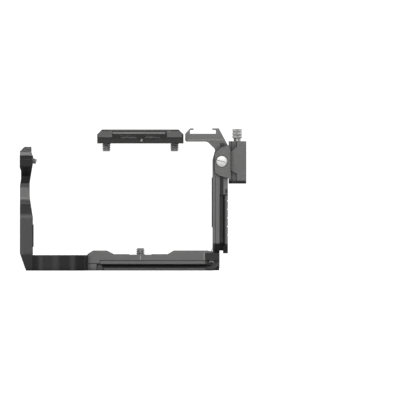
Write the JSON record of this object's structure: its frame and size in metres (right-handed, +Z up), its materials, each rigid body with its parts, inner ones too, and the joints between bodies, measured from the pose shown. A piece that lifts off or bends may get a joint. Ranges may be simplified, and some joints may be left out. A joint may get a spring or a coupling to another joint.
{
  "type": "camera cage",
  "caption": "Camera cage: an open frame with a grip-side arm, dovetail base, side rail with threads, sloping cold-shoe arm, cable clamp and a separate top rail.",
  "frame": {"origin": "on the underside of the base, under the camera screw's axis", "axes": "+Z up along the camera screw, +X to the side rail, +Y to the rear of the camera"},
  "size_m": [0.1632, 0.0668, 0.1027],
  "materials": {
    "black_alloy": "satin black anodised",
    "grey_steel": "grey plated steel",
    "bright_steel": "bright turned steel",
    "dark_steel": "black oxide steel",
    "magnet": "nickel plated magnet",
    "pad_rubber": "matt black rubber"
  },
  "bodies": {
    "frame": {"base_set_screw": "dark_steel", "cage_frame": "black_alloy", "camera_screw_ring": "dark_steel", "clamp_bracket": "black_alloy", "column_pad": "pad_rubber", "grip_pad": "pad_rubber", "rail_stop_screw": "dark_steel", "seat_pad_left": "pad_rubber", "seat_pad_right": "pad_rubber", "top_locating_pin": "grey_steel", "top_plate": "black_alloy", "wrench_magnet_left": "magnet", "wrench_magnet_right": "magnet"},
    "camera_screw_body": {"camera_screw": "grey_steel"},
    "top_plate_screw_left_body": {"top_plate_screw_left": "grey_steel"},
    "top_plate_screw_right_body": {"top_plate_screw_right": "grey_steel"},
    "grip_lock_screw_body": {"grip_lock_screw": "grey_steel"},
    "clamp_thumb_screw_body": {"clamp_thumb_screw": "bright_steel"},
    "clamp_jaw_body": {"clamp_jaw": "black_alloy"},
    "slotted_wrench_body": {"slotted_wrench": "bright_steel"},
    "clamp_mount_screw_body": {"clamp_mount_screw": "bright_steel"}
  },
  "joints": [
    {"name": "camera_screw_turn", "type": "hinge", "parent": "frame", "child": "camera_screw_body", "pos_m": [0, 0, 0.005], "axis": [0, 0, 1], "continuous": true},
    {"name": "top_screw_left_turn", "type": "hinge", "parent": "frame", "child": "top_plate_screw_left_body", "pos_m": [-0.0246, -0.0061, 0.09], "axis": [0, 0, 1], "continuous": true},
    {"name": "top_screw_right_turn", "type": "hinge", "parent": "frame", "child": "top_plate_screw_right_body", "pos_m": [0.0246, -0.0061, 0.09], "axis": [0, 0, 1], "continuous": true},
    {"name": "grip_lock_screw_turn", "type": "hinge", "parent": "frame", "child": "grip_lock_screw_body", "pos_m": [-0.0839, -0.0205, 0.0817], "axis": [0.9397, 0, -0.342], "continuous": true},
    {"name": "clamp_screw_turn", "type": "hinge", "parent": "frame", "child": "clamp_mount_screw_body", "pos_m": [0.0587, -0.0281, 0.0788], "axis": [0, 1, 0], "continuous": true},
    {"name": "thumb_screw_turn", "type": "hinge", "parent": "frame", "child": "clamp_thumb_screw_body", "pos_m": [0.0698, -0.0193, 0.094], "axis": [0, 0, 1], "range_deg": [0, 4115]},
    {"name": "jaw_slide", "type": "slide", "parent": "frame", "child": "clamp_jaw_body", "axis": [0, 0, -1], "range_m": [0, 0.008]},
    {"name": "wrench_slide", "type": "slide", "parent": "frame", "child": "slotted_wrench_body", "axis": [1, 0, 0], "range_m": [0, 0.045]}
  ],
  "couplings": [
    {"joint": "thumb_screw_turn", "follows": "jaw_slide", "rad_per_m": 8976}
  ]
}
